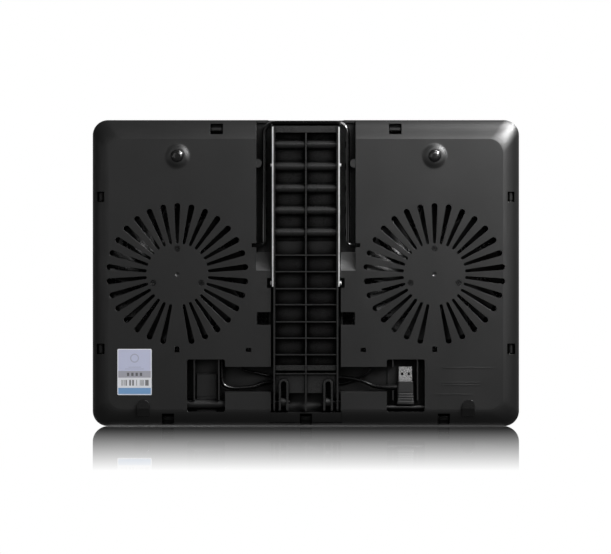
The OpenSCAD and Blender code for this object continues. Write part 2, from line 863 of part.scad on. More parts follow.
module hinge_pins() {
    color("#aeb1b5")
        for (s = SIDES)
            cross_bar(pin_r, pin_out_x - pin_in_x, hinge_y, axis_z, s * (pin_in_x + pin_out_x) / 2);
}

// ---------- prop wire ----------

module prop_wire() {
    color("#101112")
        union() {
            for (s = [0, 1]) mirror([s, 0, 0]) {
                rod([wire_leg_x, pivot_y + wire_foot_r, axis_z],
                    [wire_leg_x, crossbar_y - wire_bend_r, axis_z], wire_r);
                level_arc([wire_leg_x - wire_bend_r, crossbar_y - wire_bend_r, axis_z],
                          wire_bend_r, 0, wire_r);
                level_arc([wire_leg_x + wire_foot_r, pivot_y + wire_foot_r, axis_z],
                          wire_foot_r, 180, wire_r);
                rod([wire_leg_x + wire_foot_r, pivot_y, axis_z], [wire_foot_x, pivot_y, axis_z], wire_r);
            }
            cross_bar(wire_r, 2 * (wire_leg_x - wire_bend_r), crossbar_y, axis_z);
        }
}

// ---------- fans ----------

module at_fan(s) {
    translate([s * fan_x, fan_y, 0]) children();
}

module ring(r_out, r_in, low, high) {
    translate([0, 0, low]) difference() {
        cylinder(h = high - low, r = r_out);
        translate([0, 0, -1]) cylinder(h = high - low + 2, r = r_in);
    }
}

module fan_screws() {
    color("#8f9397")
        for (s = SIDES) at_fan(s) for (a = SCREW_A) rotate(a) translate([screw_ring_r, 0, 0])
            difference() {
                union() {
                    translate([0, 0, screw_low_z]) cylinder(h = screw_head_h, r = screw_head_r);
                    translate([0, 0, screw_low_z])
                        cylinder(h = flange_top_z - screw_low_z, r = screw_r);
                }
                for (t = [0, 90]) rotate(t) translate([-1.5, -0.3, floor_z])
                    cube([3, 0.6, 0.8]);
            }
}

module motor_base(s) {
    color("#303236") at_fan(s) difference() {
        union() {
            translate([0, 0, inner_z]) cylinder(h = flange_t, r = flange_r);
            translate([0, 0, inner_z]) cylinder(h = tube_top_z - inner_z, r = tube_r);
        }
        translate([0, 0, shaft_low_z - 0.2]) cylinder(h = FAR, r = tube_in_r);
        for (a = SCREW_A) rotate(a) translate([screw_ring_r, 0, inner_z - 1])
            cylinder(h = FAR, r = screw_r);
        span([-2, -FAR, inner_z + 0.2], [2, -flange_r + 8, flange_top_z + 1]);
    }
}

module bearing(s) {
    color("#b08d4a") at_fan(s) ring(tube_in_r, shaft_r + pin_play, shaft_low_z + 0.6, tube_top_z);
}

module stator_core(s) {
    color("#7c8087") at_fan(s) translate([0, 0, core_z]) linear_extrude(core_h) difference() {
        union() {
            circle(core_hub_r);
            for (a = [0, 90]) rotate(a) square([2 * core_shoe_in_r + 2, core_neck_w], center = true);
            intersection() {
                difference() {
                    circle(core_r);
                    circle(core_shoe_in_r);
                }
                for (a = [0, 90]) rotate(a) square([2 * core_r, 22], center = true);
            }
        }
        circle(tube_r);
        for (a = [45 : 90 : 315]) rotate(a) translate([core_shoe_in_r - 1, -1.2])
            square([core_r, 2.4]);
    }
}

module stator_coils(s) {
    core_mid_z = core_z + core_h / 2;
    coil_l = core_shoe_in_r - core_hub_r - 1.9;
    color("#b5652a") at_fan(s) for (a = [0 : 90 : 270]) rotate(a)
        translate([core_hub_r + 0.4 + coil_l / 2, 0, core_mid_z]) difference() {
            cube([coil_l, coil_w, coil_h - 1], center = true);
            cube([coil_l + 2, core_neck_w, core_h], center = true);
        }
}

module fan_board(s) {
    color("#2d5b3a") at_fan(s) difference() {
        ring(board_r, tube_r, board_z, board_z + board_t);
        for (a = SCREW_A) rotate(a) translate([screw_ring_r, 0, 0]) cylinder(h = FAR, r = 3.2);
    }
}

module blade() {
    translate([0, 0, (blade_low_z + blade_top_z) / 2]) rotate([blade_pitch, 0, 0])
        translate([hub_r - 0.6, -blade_chord / 2, -blade_t / 2]) cube([blade_r, blade_chord, blade_t]);
}

module impeller(s) {
    color("#1b1c1e") at_fan(s) {
        ring(hub_r, hub_r - hub_wall, hub_low_z, hub_top_z - hub_wall);
        translate([0, 0, hub_top_z - hub_wall]) cylinder(h = hub_wall, r = hub_r);
        intersection() {
            for (i = [0 : blade_count - 1]) rotate(i * 360 / blade_count) blade();
            ring(blade_r, hub_r - 0.3, blade_low_z, blade_top_z);
        }
    }
}

module rotor_cup(s) {
    cup_r = hub_r - hub_wall;
    cup_top_z = hub_top_z - hub_wall;
    color("#8a8d92") at_fan(s) {
        ring(cup_r, cup_r - cup_t, hub_low_z + 0.6, cup_top_z);
        ring(cup_r - cup_t + EPS, shaft_r, cup_top_z - cup_t, cup_top_z);
        ring(tube_in_r, shaft_r, tube_top_z + 0.3, cup_top_z - cup_t + EPS);
    }
}

module magnet_ring(s) {
    r = hub_r - hub_wall - cup_t;
    color("#3b3633") at_fan(s) ring(r, r - magnet_t, core_z - 0.6, core_z - 0.6 + magnet_h);
}

module shaft(s) {
    color("#c4c7cb") at_fan(s) translate([0, 0, shaft_low_z])
        cylinder(h = hub_top_z - hub_wall - shaft_low_z, r = shaft_r);
}

module motor_base_left() { motor_base(1); }
module motor_base_right() { motor_base(-1); }
module bearing_left() { bearing(1); }
module bearing_right() { bearing(-1); }
module stator_core_left() { stator_core(1); }
module stator_core_right() { stator_core(-1); }
module stator_coils_left() { stator_coils(1); }
module stator_coils_right() { stator_coils(-1); }
module fan_board_left() { fan_board(1); }
module fan_board_right() { fan_board(-1); }
module impeller_left() { impeller(1); }
module impeller_right() { impeller(-1); }
module rotor_cup_left() { rotor_cup(1); }
module rotor_cup_right() { rotor_cup(-1); }
module magnet_ring_left() { magnet_ring(1); }
module magnet_ring_right() { magnet_ring(-1); }
module shaft_left() { shaft(1); }
module shaft_right() { shaft(-1); }

// ---------- cables and plug ----------

module fan_lead_left() {
    bend_y = lead_row_y + lead_bend_r;
    color("#141414") {
        rod([fan_x, -23, lead_z], [fan_x, bend_y, lead_z], lead_r);
        level_arc([fan_x - lead_bend_r, bend_y, lead_z], lead_bend_r, 270, lead_r);
        rod([fan_x - lead_bend_r, lead_row_y, lead_z], [splice_high_x, lead_row_y, lead_z], lead_r);
    }
}

module fan_lead_right() {
    z = lead_z + 3.5;
    color("#141414")
        cable([[-fan_x, -24, lead_z], [-fan_x, lead_row_y, lead_z], [-62, lead_row_y, lead_z],
               [-59, -78, z], [-59, -88.5, z], [-44, -97.5, lead_arm_z - 1.3],
               [-30, -101.5, lead_arm_z], [30, -94.5, lead_arm_z], [46, -91, lead_arm_z - 2.4],
               [59, -88.5, z], [59, -73, z], [splice_low_x - lead_r, -73, z]], lead_r);
}

module lead_splice() {
    color("#0f0f10")
        span([splice_low_x, -76.4, inner_z + 0.1], [splice_high_x, -69, lead_z + 5]);
}

module usb_cable() {
    z = lead_z + 3;
    color("#161617")
        cable([[plug_x + plug_body_w / 2 + cable_r, plug_entry_y, plug_z], [-66, plug_entry_y, plug_z],
               [-50, -98.2, cable_arm_z - 3], [-34, -95.4, cable_arm_z],
               [34, -99.5, cable_arm_z], [50, -104.6, cable_arm_z - 2],
               [72, -104.4, z], [76.7, -99, z], [76.7, -74.2, z],
               [splice_high_x + cable_r, -74.2, z]], cable_r);
}

module usb_plug_housing() {
    mid_y = (plug_root_y + plug_back_y) / 2;
    color("#1a1b1c") difference() {
        translate([plug_x, mid_y, plug_z]) rotate([90, 0, 0]) translate([0, 0, -(plug_root_y - mid_y)])
            linear_extrude(plug_root_y - plug_back_y)
                rounded_rect(plug_body_w, plug_body_h, plug_body_r);
        translate([plug_x - socket_w / 2, plug_back_y - 1, plug_z - socket_h / 2])
            cube([socket_w, socket_depth + 1, socket_h]);
    }
}

module usb_plug_shell() {
    l = plug_tip_y - plug_root_y;
    color("#d4d6d9") translate([plug_x, plug_root_y + l / 2, plug_z]) difference() {
        cube([plug_shell_w, l, plug_shell_h], center = true);
        translate([0, 1, 0])
            cube([plug_shell_w - 2 * plug_shell_t, l, plug_shell_h - 2 * plug_shell_t], center = true);
        for (x = HOLE_X) translate([x, 0, 0]) cube([2, 2.4, plug_shell_h + 1], center = true);
    }
}

module usb_plug_tongue() {
    l = plug_tip_y - plug_root_y - 2;
    color("#2a2a2c")
        translate([plug_x, plug_root_y + 1 + l / 2,
                   plug_z + plug_shell_h / 2 - plug_shell_t - tongue_h / 2])
            cube([tongue_w, l, tongue_h], center = true);
}

module usb_plug_contacts() {
    l = 8;
    z = plug_z + plug_shell_h / 2 - plug_shell_t - tongue_h;
    color("#c9a13b") for (x = CONTACT_X) translate([plug_x + x, plug_tip_y - 2 - l / 2, z - 0.1])
        cube([1, l, 0.2], center = true);
}

module usb_socket_shell() {
    l = socket_depth - 0.5;
    color("#c6c9cc") translate([plug_x, plug_back_y + l / 2, plug_z]) difference() {
        cube([socket_w, l, socket_h], center = true);
        translate([0, -plug_shell_t, 0])
            cube([socket_w - 2 * plug_shell_t, l, socket_h - 2 * plug_shell_t], center = true);
    }
}

module usb_socket_tongue() {
    l = socket_depth - 2.5;
    color("#2a2a2c")
        translate([plug_x, plug_back_y + socket_depth - 0.5 - plug_shell_t - l / 2, plug_z + 0.6])
            cube([tongue_w, l, tongue_h - 0.3], center = true);
}

base_shell();
top_frame();
mesh_panel();
grip_strips();
rear_feet();
front_feet();
hinge_pins();
rating_label();
fan_screws();
motor_base_left();
motor_base_right();
bearing_left();
bearing_right();
stator_core_left();
stator_core_right();
stator_coils_left();
stator_coils_right();
fan_board_left();
fan_board_right();
fan_lead_left();
fan_lead_right();
lead_splice();
usb_cable();
usb_plug_housing();
usb_plug_shell();
usb_plug_tongue();
usb_plug_contacts();
usb_socket_shell();
usb_socket_tongue();
stand_arm();
arm_rail_left();
arm_rail_right();
rail_rivets();
prop_wire();
impeller_left();
rotor_cup_left();
magnet_ring_left();
shaft_left();
impeller_right();
rotor_cup_right();
magnet_ring_right();
shaft_right();
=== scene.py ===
import math

import bmesh
import bpy
from mathutils import Matrix, Vector

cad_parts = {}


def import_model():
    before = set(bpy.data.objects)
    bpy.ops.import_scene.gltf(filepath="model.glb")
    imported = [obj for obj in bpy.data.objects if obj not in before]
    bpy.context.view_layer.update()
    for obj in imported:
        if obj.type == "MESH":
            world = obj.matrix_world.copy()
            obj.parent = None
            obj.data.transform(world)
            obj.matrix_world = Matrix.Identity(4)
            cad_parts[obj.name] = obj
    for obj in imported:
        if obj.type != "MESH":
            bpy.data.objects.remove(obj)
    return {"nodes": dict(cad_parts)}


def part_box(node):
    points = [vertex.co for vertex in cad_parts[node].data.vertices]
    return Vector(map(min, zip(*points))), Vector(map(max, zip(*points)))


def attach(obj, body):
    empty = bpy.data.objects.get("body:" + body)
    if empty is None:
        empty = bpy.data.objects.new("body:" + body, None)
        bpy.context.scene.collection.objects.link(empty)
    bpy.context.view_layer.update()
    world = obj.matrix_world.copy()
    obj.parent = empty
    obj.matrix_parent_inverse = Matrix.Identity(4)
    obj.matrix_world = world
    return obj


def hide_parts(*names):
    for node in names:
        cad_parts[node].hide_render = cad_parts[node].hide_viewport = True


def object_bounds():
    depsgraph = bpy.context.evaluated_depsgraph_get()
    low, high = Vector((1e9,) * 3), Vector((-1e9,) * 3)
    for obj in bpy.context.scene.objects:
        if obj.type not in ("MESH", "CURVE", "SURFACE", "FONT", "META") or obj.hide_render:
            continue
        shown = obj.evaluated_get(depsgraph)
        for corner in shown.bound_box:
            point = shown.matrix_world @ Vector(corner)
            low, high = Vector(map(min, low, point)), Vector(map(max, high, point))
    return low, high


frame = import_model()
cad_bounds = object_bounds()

MM = 0.001
TURN = 2 * math.pi

# ---------- small helpers ----------


def box_mm(node):
    """Lowest and highest corner of a CAD node, in millimetres"""
    low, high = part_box(node)
    return low / MM, high / MM


def middle_and_half(low, high):
    """The middle of a box and half its size, from its two corners"""
    return (low + high) / 2, (high - low) / 2


def grey(level):
    """Linear RGBA of a grey given on the usual 0 to 255 screen scale"""
    return rgb(level, level, level)


def rgb(*levels):
    """Linear RGBA of a colour given on the usual 0 to 255 screen scale"""
    return tuple((v / 255) ** 2.2 for v in levels) + (1.0,)


def flat_shading(obj):
    """Keeps an object's flats looking flat beside its rounded edges"""
    obj.modifiers.new("flat_shading", "WEIGHTED_NORMAL").keep_sharp = False


def soften(obj, width, angle):
    """Rounds the edges that are sharper than angle degrees by width millimetres"""
    bevel = obj.modifiers.new("edge_round", "BEVEL")
    bevel.width = width * MM
    bevel.segments = 2
    bevel.limit_method = "ANGLE"
    bevel.angle_limit = math.radians(angle)
    flat_shading(obj)


# ---------- materials ----------


# Millimetres: the sizes of mottling and scuffs, how near a wall has to be for the painted shade in
# a corner, and how far from the pad's middle the two ramps beside the arm with painted light end
MOTTLE_SIZE, SCUFF_SIZE, CAVITY_REACH, RAMP_REACH = 28.0, 3.5, 22, 25

# Most of a slow noise's values lie between the first pair, and of the fine grain's in the second
NOISE_BAND, GRAIN_BAND = (0.35, 0.65), (0.3, 0.7)

# How well the rounded and the true direction of a face match, where it is fully worn and not at all
EDGE_MATCH = (0.80, 0.99)

# The part of a face's direction along Z or Y between which it comes to count as facing down, stops
# to count as a wall, and starts and then stops to count as a ramp
FACES_DOWN, FACES_SIDE = (-0.9, -0.5), (0.35, 0.85)
RAMP_START, RAMP_END = (0.15, 0.35), (0.75, 0.95)

# Rubbed plastic's gain and lift over its own colour, which the painted light on ramps and walls
# also uses, the least wear between scuffs, how far the grain swings the roughness and how much the
# mottling adds to it
WORN_AND_LIT_GAIN, WORN_AND_LIT_LIFT, SCUFF_LEAST, ROUGH_SWING, ROUGH_SMEAR = 2.4, 0.015, 0.25, 0.12, 0.04

# The near-black that the painted shade deep in corners and pockets goes to
CAVITY_SHADE = grey(2)
WHITE = grey(255)


class Tree:
    """The node tree of a new material, or of the given owner, built with short calls"""

    def __init__(self, name, owner=None):
        self.owner = owner or bpy.data.materials.new(name)
        self.owner.use_nodes = True
        self.tree = self.owner.node_tree
        self.tree.nodes.clear()

    def add(self, kind, inputs=None, **settings):
        """Adds a node. An input is a value, or another node's output to join to it"""
        node = self.tree.nodes.new("ShaderNode" + kind)
        for key, value in settings.items():
            setattr(node, key, value)
        for key, value in (inputs or {}).items():
            self.feed(node.inputs[key], value)
        return node

    def feed(self, socket, value):
        if isinstance(value, bpy.types.NodeSocket):
            self.tree.links.new(value, socket)
        else:
            socket.default_value = value

    def math(self, operation, a, b=0.0, clamp=False):
        node = self.add("Math", {0: a, 1: b}, operation=operation, use_clamp=clamp)
        return node.outputs[0]

    def noise(self, where, size, detail=2.0, stretch=None):
        """Fractal noise whose features are about size millimetres across"""
        if stretch:
            where = self.add("Mapping", {"Vector": where, "Scale": stretch}).outputs[0]
        inputs = {"Vector": where, "Scale": 1 / (size * MM), "Detail": detail}
        return self.add("TexNoise", inputs).outputs["Fac"]

    def both(self, *shares):
        """The product of two or more shares"""
        product = shares[0]
        for share in shares[1:]:
            product = self.math("MULTIPLY", product, share)
        return product

    def inside(self, value, low, high):
        """1 where value lies between low and high, else 0"""
        return self.both(self.math("GREATER_THAN", value, low), self.math("LESS_THAN", value, high))

    def spread(self, value, low, high, out_low=0.0, out_high=1.0):
        """Maps low to high onto out_low to out_high, and holds it at those ends"""
        inputs = {"Value": value, "From Min": low, "From Max": high,
                  "To Min": out_low, "To Max": out_high}
        return self.add("MapRange", inputs).outputs[0]

    def mix(self, factor, a, b):
        """A colour between a and b. The Mix node's colours are inputs 6 and 7 and output 2"""
        node = self.add("Mix", {"Factor": factor, 6: a, 7: b}, data_type="RGBA")
        return node.outputs[2]

    def glow(self, colour):
        return self.add("Emission", {"Color": colour, "Strength": 1.0}).outputs[0]

    def output(self, surface):
        self.add("OutputMaterial", {"Surface": surface})
        return self.owner


def finish(name, colour, rough, metallic=0.0, grain=0.5, bump=0.02, bump_strength=0.3,
           wear=0.25, wear_colour=None, edge=0.25, brushed=None, coat=0.0, mottle=0.12,
           specular=0.5, tint=None, cavity=0.75, open_at=(0.30, 0.95), ramp_lift=0.0,
           under=1.0, upright=0.0):
    """A solid finish: fine grain, slow mottling, rounded edges and light wear along them.

    grain is the grain's size and bump its height, in millimetres; brushed stretches the grain.
    tint takes the tree and returns a socket that replaces the plain colour. cavity is how much
    darker the finish is painted deep inside corners and pockets, a painted shade on both colour and
    shine, and open_at the shares of open sky at which that shade starts to fade and ends. ramp_lift
    is painted light that keeps the two ramps beside the arm paler, under is how bright the painted
    shade leaves the side that faces down, and upright how much paler painted light makes walls, as
    light from a pale table would."""
    t = Tree(name)
    where = t.add("TexCoord").outputs["Object"]
    fine = t.noise(where, grain, 3.0, brushed)
    shade = t.spread(t.noise(where, MOTTLE_SIZE), *NOISE_BAND)
    scuff = t.spread(t.noise(where, SCUFF_SIZE, 4.0), *NOISE_BAND, SCUFF_LEAST)
    rounded = t.add("Bevel", {"Radius": edge * MM}, samples=4).outputs["Normal"]
    face = t.add("NewGeometry").outputs["Normal"]
    match = t.add("VectorMath", {0: rounded, 1: face}, operation="DOT_PRODUCT").outputs["Value"]
    at_edge = t.spread(match, *EDGE_MATCH, 1.0, 0.0)
    worn = t.math("MULTIPLY", t.both(at_edge, scuff), wear, clamp=True)
    darker = tuple(c * (1 - 2 * mottle) for c in colour[:3]) + (1.0,)
    lighter = wear_colour or tuple(min(1.0, c * WORN_AND_LIT_GAIN + WORN_AND_LIT_LIFT) for c in colour[:3]) + (1.0,)
    skin = t.mix(worn, tint(t) if tint else t.mix(shade, colour, darker), lighter)
    # Painted shade: colour and shine darken deep inside corners and pockets, where open sky is
    # scarce
    open_sky = t.add("AmbientOcclusion", {"Distance": CAVITY_REACH * MM}, samples=6).outputs["AO"]
    depth = t.spread(open_sky, *open_at, 1 - cavity)
    facing = t.add("SeparateXYZ", {"Vector": face}).outputs
    # Painted light: the two ramps beside the arm, which face the lamp at the top, are kept pale and
    # free of the painted corner shade
    if ramp_lift:
        along = t.add("SeparateXYZ", {"Vector": where}).outputs["Y"]
        near = t.math("LESS_THAN", t.math("ABSOLUTE", along), RAMP_REACH * MM)
        slope = t.both(t.spread(facing["Y"], *RAMP_START),
                       t.spread(facing["Y"], *RAMP_END, 1.0, 0.0), near)
        depth = t.math("MAXIMUM", depth, slope)
        skin = t.mix(t.both(slope, ramp_lift), skin, lighter)
    # Painted shade: the side that faces down is darker still
    if under < 1:
        depth = t.both(depth, t.spread(facing["Z"], *FACES_DOWN, under))
    skin = t.mix(depth, CAVITY_SHADE, skin)
    # Painted light: walls are mixed towards the paler colour, as light from a pale table would make
    # them
    if upright:
        wall = t.spread(t.math("ABSOLUTE", facing["Z"]), *FACES_SIDE, upright, 0.0)
        skin = t.mix(wall, skin, lighter)
    rough_now = t.spread(fine, *GRAIN_BAND, rough * (1 - ROUGH_SWING),
                         min(1.0, rough * (1 + ROUGH_SWING)))
    rough_now = t.math("ADD", rough_now, t.both(shade, ROUGH_SMEAR))
    grainy = t.add("Bump", {"Strength": bump_strength, "Distance": bump * MM, "Height": fine,
                            "Normal": rounded}).outputs["Normal"]
    shader = t.add("BsdfPrincipled", {
        "Base Color": skin, "Roughness": rough_now, "Metallic": metallic, "Normal": grainy,
        "Specular IOR Level": t.both(depth, specular),
        "Coat Weight": coat, "Coat Roughness": 0.08,
    })
    return t.output(shader.outputs[0])


def winding_tint(t):
    """Copper turns lying side by side"""
    where = t.add("TexCoord").outputs["Object"]
    wave = t.add("TexWave", {"Vector": where, "Scale": 380.0, "Distortion": 0.6},
                 bands_direction="Z").outputs["Fac"]
    return t.mix(wave, rgb(92, 44, 22), rgb(196, 112, 62))


def board_tint(t):
    """Solder mask over copper tracks"""
    where = t.add("TexCoord").outputs["Object"]
    tracks = t.add("TexVoronoi", {"Vector": where, "Scale": 260.0},
                   feature="DISTANCE_TO_EDGE").outputs["Distance"]
    return t.mix(t.spread(tracks, 0.04, 0.08), rgb(58, 110, 70), rgb(26, 70, 42))


def make_finishes():
    """One finish per material slot of the record"""
    plastics = {
        "shell_plastic": dict(colour=grey(36), rough=0.34, grain=0.45, bump=0.03, cavity=0.92,
                              open_at=(0.12, 0.58), ramp_lift=1.0),
        "arm_plastic": dict(colour=grey(46), rough=0.26, cavity=0.95, open_at=(0.48, 0.92)),
        "frame_plastic": dict(colour=grey(30), rough=0.36, grain=0.6, upright=1.0),
        "grip_rubber": dict(colour=grey(26), rough=0.72, grain=0.25, bump=0.04, wear=0.1),
        "foot_plastic": dict(colour=grey(34), rough=0.20, grain=0.8, bump=0.01, wear=0.1, coat=0.5),
        "motor_plastic": dict(colour=grey(44), rough=0.5, grain=0.4),
        "board": dict(colour=rgb(30, 76, 46), rough=0.35, grain=0.6, tint=board_tint, wear=0.1),
        "cable_pvc": dict(colour=grey(14), rough=0.26, grain=0.7, wear=0.0, edge=0.05, coat=0.15,
                          specular=0.35),
        "plug_plastic": dict(colour=grey(28), rough=0.42, grain=0.35, bump=0.03),
        "insulator": dict(colour=grey(20), rough=0.45, grain=0.4, wear=0.0, cavity=1.0),
        "fan_plastic": dict(colour=grey(26), rough=0.28, grain=0.7, cavity=0.5),
        "magnet": dict(colour=grey(56), rough=0.6, grain=0.25, bump=0.04),
        "wire_gloss": dict(colour=grey(7), rough=0.10, grain=1.5, bump=0.01, bump_strength=0.15,
                           wear=0.05, edge=0.05, coat=0.3, specular=0.4),
    }
    metals = {
        "deck_metal": dict(colour=grey(46), rough=0.42, metallic=0.4, grain=0.3, bump=0.01,
                           wear=0.2, edge=0.08, under=0.5),
        "rail_steel": dict(colour=grey(240), rough=0.30, metallic=0.66, bump=0.003,
                           bump_strength=0.15, brushed=(1, 0.04, 1), wear=0.1,
                           wear_colour=grey(245), cavity=0.2, mottle=0.04),
        "pin_steel": dict(colour=grey(74), rough=0.38, grain=0.4, bump=0.006, wear=0.1,
                          wear_colour=grey(120)),
        "screw_steel": dict(colour=grey(62), rough=0.28, grain=0.3, bump=0.01, wear=0.6,
                            wear_colour=grey(200), edge=0.2, cavity=0.98),
        "bearing_brass": dict(colour=rgb(176, 141, 74), rough=0.35, grain=0.3),
        "core_steel": dict(colour=grey(124), rough=0.4, grain=0.4, brushed=(0.2, 0.2, 6)),
        "copper": dict(colour=rgb(181, 101, 42), rough=0.32, metallic=0.8, grain=0.3,
                       tint=winding_tint, wear=0.0),
        "plug_metal": dict(colour=grey(236), rough=0.26, metallic=0.82, grain=0.4, bump=0.006,
                           wear=0.1, wear_colour=grey(245), edge=0.1, cavity=0.45),
        "contact_gold": dict(colour=rgb(214, 170, 72), rough=0.25, grain=0.2, wear=0.0, edge=0.05,
                             cavity=1.0, open_at=(0.35, 0.7)),
        "cup_steel": dict(colour=grey(138), rough=0.35, grain=0.4),
    }
    finishes = {name: finish(name, **look) for name, look in plastics.items()}
    for name, look in metals.items():
        finishes[name] = finish(name, **{"metallic": 1.0, **look})
    finishes["label_film"] = label_film()
    return finishes


def label_film():
    """A printed sticker: pale field with a plain ring, a row of squares, bars and a blue band.

    Places on it are shares of its width and height"""
    t = Tree("label_film")
    axes = t.add("SeparateXYZ", {"Vector": t.add("TexCoord").outputs["Generated"]})
    x, y = axes.outputs["X"], axes.outputs["Y"]
    ramp = t.add("ValToRGB", {"Fac": y})
    ramp.color_ramp.interpolation = "CONSTANT"
    bands = [(0.0, rgb(214, 218, 226)), (0.02, rgb(112, 154, 198)), (0.155, rgb(222, 223, 228)),
             (0.378, rgb(160, 160, 170)), (0.52, rgb(188, 192, 216)), (0.978, rgb(228, 230, 236))]
    stops = ramp.color_ramp.elements
    while len(stops) < len(bands):
        stops.new(0.5)
    for stop, (place, colour) in zip(stops, bands):
        stop.position = place
        stop.color = colour

    def patch(x_low, x_high, y_low, y_high):
        return t.both(t.inside(x, x_low, x_high), t.inside(y, y_low, y_high))

    bar_count, bar_share = 58.0, 0.48
    bar_number = t.math("FLOOR", t.both(x, bar_count))
    bar_noise = t.add("TexWhiteNoise", {"W": bar_number}, noise_dimensions="1D").outputs["Value"]
    bars = t.both(t.math("GREATER_THAN", bar_noise, bar_share), patch(0.09, 0.92, 0.205, 0.33))
    cell_count, square_half = 8.0, 0.27
    cell = t.math("ABSOLUTE", t.math("SUBTRACT", t.math("FRACT", t.both(x, cell_count)), 0.5))
    squares = t.both(t.math("LESS_THAN", cell, square_half), patch(0.25, 0.75, 0.415, 0.485))
    width_per_height, ring_y, ring_r, ring_half_t = 0.75, 0.80, 0.085, 0.012
    across = t.math("POWER", t.both(t.math("SUBTRACT", x, 0.5), width_per_height), 2.0)
    up = t.math("POWER", t.math("SUBTRACT", y, ring_y), 2.0)
    off_ring = t.math("SUBTRACT", t.math("SQRT", t.math("ADD", across, up)), ring_r)
    ring = t.math("LESS_THAN", t.math("ABSOLUTE", off_ring), ring_half_t)
    rules = t.math("ADD", patch(0.32, 0.68, 0.60, 0.612), patch(0.22, 0.78, 0.56, 0.572))
    faint = t.math("ADD", t.both(ring, 0.35), t.both(rules, 0.4))
    ink = t.both(t.math("ADD", t.math("ADD", bars, squares), faint, clamp=True), 0.8)
    margin = t.math("SUBTRACT", 1.0, t.inside(x, 0.025, 0.975))
    printed = t.mix(ink, ramp.outputs["Color"], grey(58))
    printed = t.mix(margin, printed, rgb(224, 226, 232))
    fibre = t.noise(t.add("TexCoord").outputs["Object"], 0.4, 3.0)
    printed = t.mix(t.both(fibre, 0.10), printed, grey(120))
    bump = t.add("Bump", {"Strength": 0.15, "Distance": 0.02 * MM, "Height": fibre}).outputs[0]
    # The print glows a little as well: painted light that keeps the sticker pale
    shader = t.add("BsdfPrincipled", {"Base Color": printed, "Roughness": 0.38, "Normal": bump,
                                      "Coat Weight": 0.2, "Emission Color": printed,
                                      "Emission Strength": 0.24})
    return t.output(shader.outputs[0])


FINISH = make_finishes()

# The record's slot names are read before the new finishes take over
SLOT_OF = {name: node.material_slots[0].material.name for name, node in frame["nodes"].items()}

# Pins that are polished like the rails they hold, and shafts that are dull like the hinge pins
POLISH = {"rail_rivets": "rail_steel", "shaft_left": "pin_steel", "shaft_right": "pin_steel"}


def dress_cad_nodes():
    """Gives every CAD node the finish of its own material slot"""
    for name, node in frame["nodes"].items():
        node.material_slots[0].material = FINISH[POLISH.get(name, SLOT_OF[name])]


# ---------- shared shapes ----------


def mesh_from(bm, name, smooth):
    """Turns millimetre bmesh geometry into a mesh in metres"""
    bmesh.ops.recalc_face_normals(bm, faces=bm.faces)
    bm.transform(Matrix.Scale(MM, 4))
    mesh = bpy.data.meshes.new(name)
    bm.to_mesh(mesh)
    bm.free()
    for face in mesh.polygons:
        face.use_smooth = smooth
    return mesh


def piece(name, bm, slot, node, body="base", smooth=True):
    """Puts a finer shape in the place of a CAD node, on the body that it rides on"""
    obj = bpy.data.objects.new(name, mesh_from(bm, name, smooth))
    bpy.context.scene.collection.objects.link(obj)
    obj.data.materials.append(FINISH[slot])
    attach(obj, body)
    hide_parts(node)
    return obj


def rounded_outline(half_w, half_d, radius, steps=8):
    """Points of a rounded rectangle, anticlockwise"""
    points = []
    for turn, (sx, sy) in enumerate([(1, 1), (-1, 1), (-1, -1), (1, -1)]):
        for i in range(steps + 1):
            a = (turn + i / steps) * math.pi / 2
            points.append((sx * (half_w - radius) + radius * math.cos(a),
                           sy * (half_d - radius) + radius * math.sin(a)))
    return points


def stack(bm, rings):
    """Joins rings of points, lowest first, into a closed skin"""
    rows = [[bm.verts.new(p) for p in ring] for ring in rings]
    count = len(rows[0])
    for low, high in zip(rows, rows[1:]):
        for i in range(count):
            j = (i + 1) % count
            bm.faces.new((low[i], low[j], high[j], high[i]))
    bm.faces.new(rows[0][::-1])
    bm.faces.new(rows[-1])


def soft_slab(bm, centre, half_w, half_d, radius, low, high, edge, steps=8):
    """A rounded slab whose high side has rounded edges"""
    edge_steps, least_radius = 4, 0.05
    levels = [(0, low)]
    for i in range(edge_steps + 1):
        a = i * math.pi / (2 * edge_steps)
        levels.append((edge * (1 - math.cos(a)), high - edge * (1 - math.sin(a))))
    rings = []
    for inset, z in levels:
        corner = max(radius - inset, least_radius)
        outline = rounded_outline(half_w - inset, half_d - inset, corner, steps)
        rings.append([(centre[0] + x, centre[1] + y, z) for x, y in outline])
    stack(bm, rings)


def lathe(bm, centre, profile, segments):
    """Turns a profile of (radius, z) points about an upright axis through centre"""
    turns = [TURN * i / segments for i in range(segments)]
    rows = []
    for r, z in profile:
        ring = turns if r > 0 else [0.0]
        rows.append([bm.verts.new((centre[0] + r * math.cos(a), centre[1] + r * math.sin(a), z))
                     for a in ring])
    for a_row, b_row in zip(rows, rows[1:]):
        for i in range(segments):
            j = (i + 1) % segments
            corners = [a_row[i % len(a_row)], a_row[j % len(a_row)],
                       b_row[j % len(b_row)], b_row[i % len(b_row)]]
            kept = [v for k, v in enumerate(corners) if v not in corners[:k]]
            if len(kept) >= 3:
                bm.faces.new(kept)


def smooth_path(points):
    """A Catmull-Rom curve through points"""
    samples = 10
    pts = [Vector(p) for p in points]
    pts = [2 * pts[0] - pts[1]] + pts + [2 * pts[-1] - pts[-2]]
    path = []
    for a, b, c, d in zip(pts, pts[1:], pts[2:], pts[3:]):
        for i in range(samples):
            u = i / samples
            path.append(0.5 * (2 * b + (c - a) * u + (2 * a - 5 * b + 4 * c - d) * u ** 2
                               + (3 * b - a - 3 * c + d) * u ** 3))
    path.append(pts[-2])
    return path


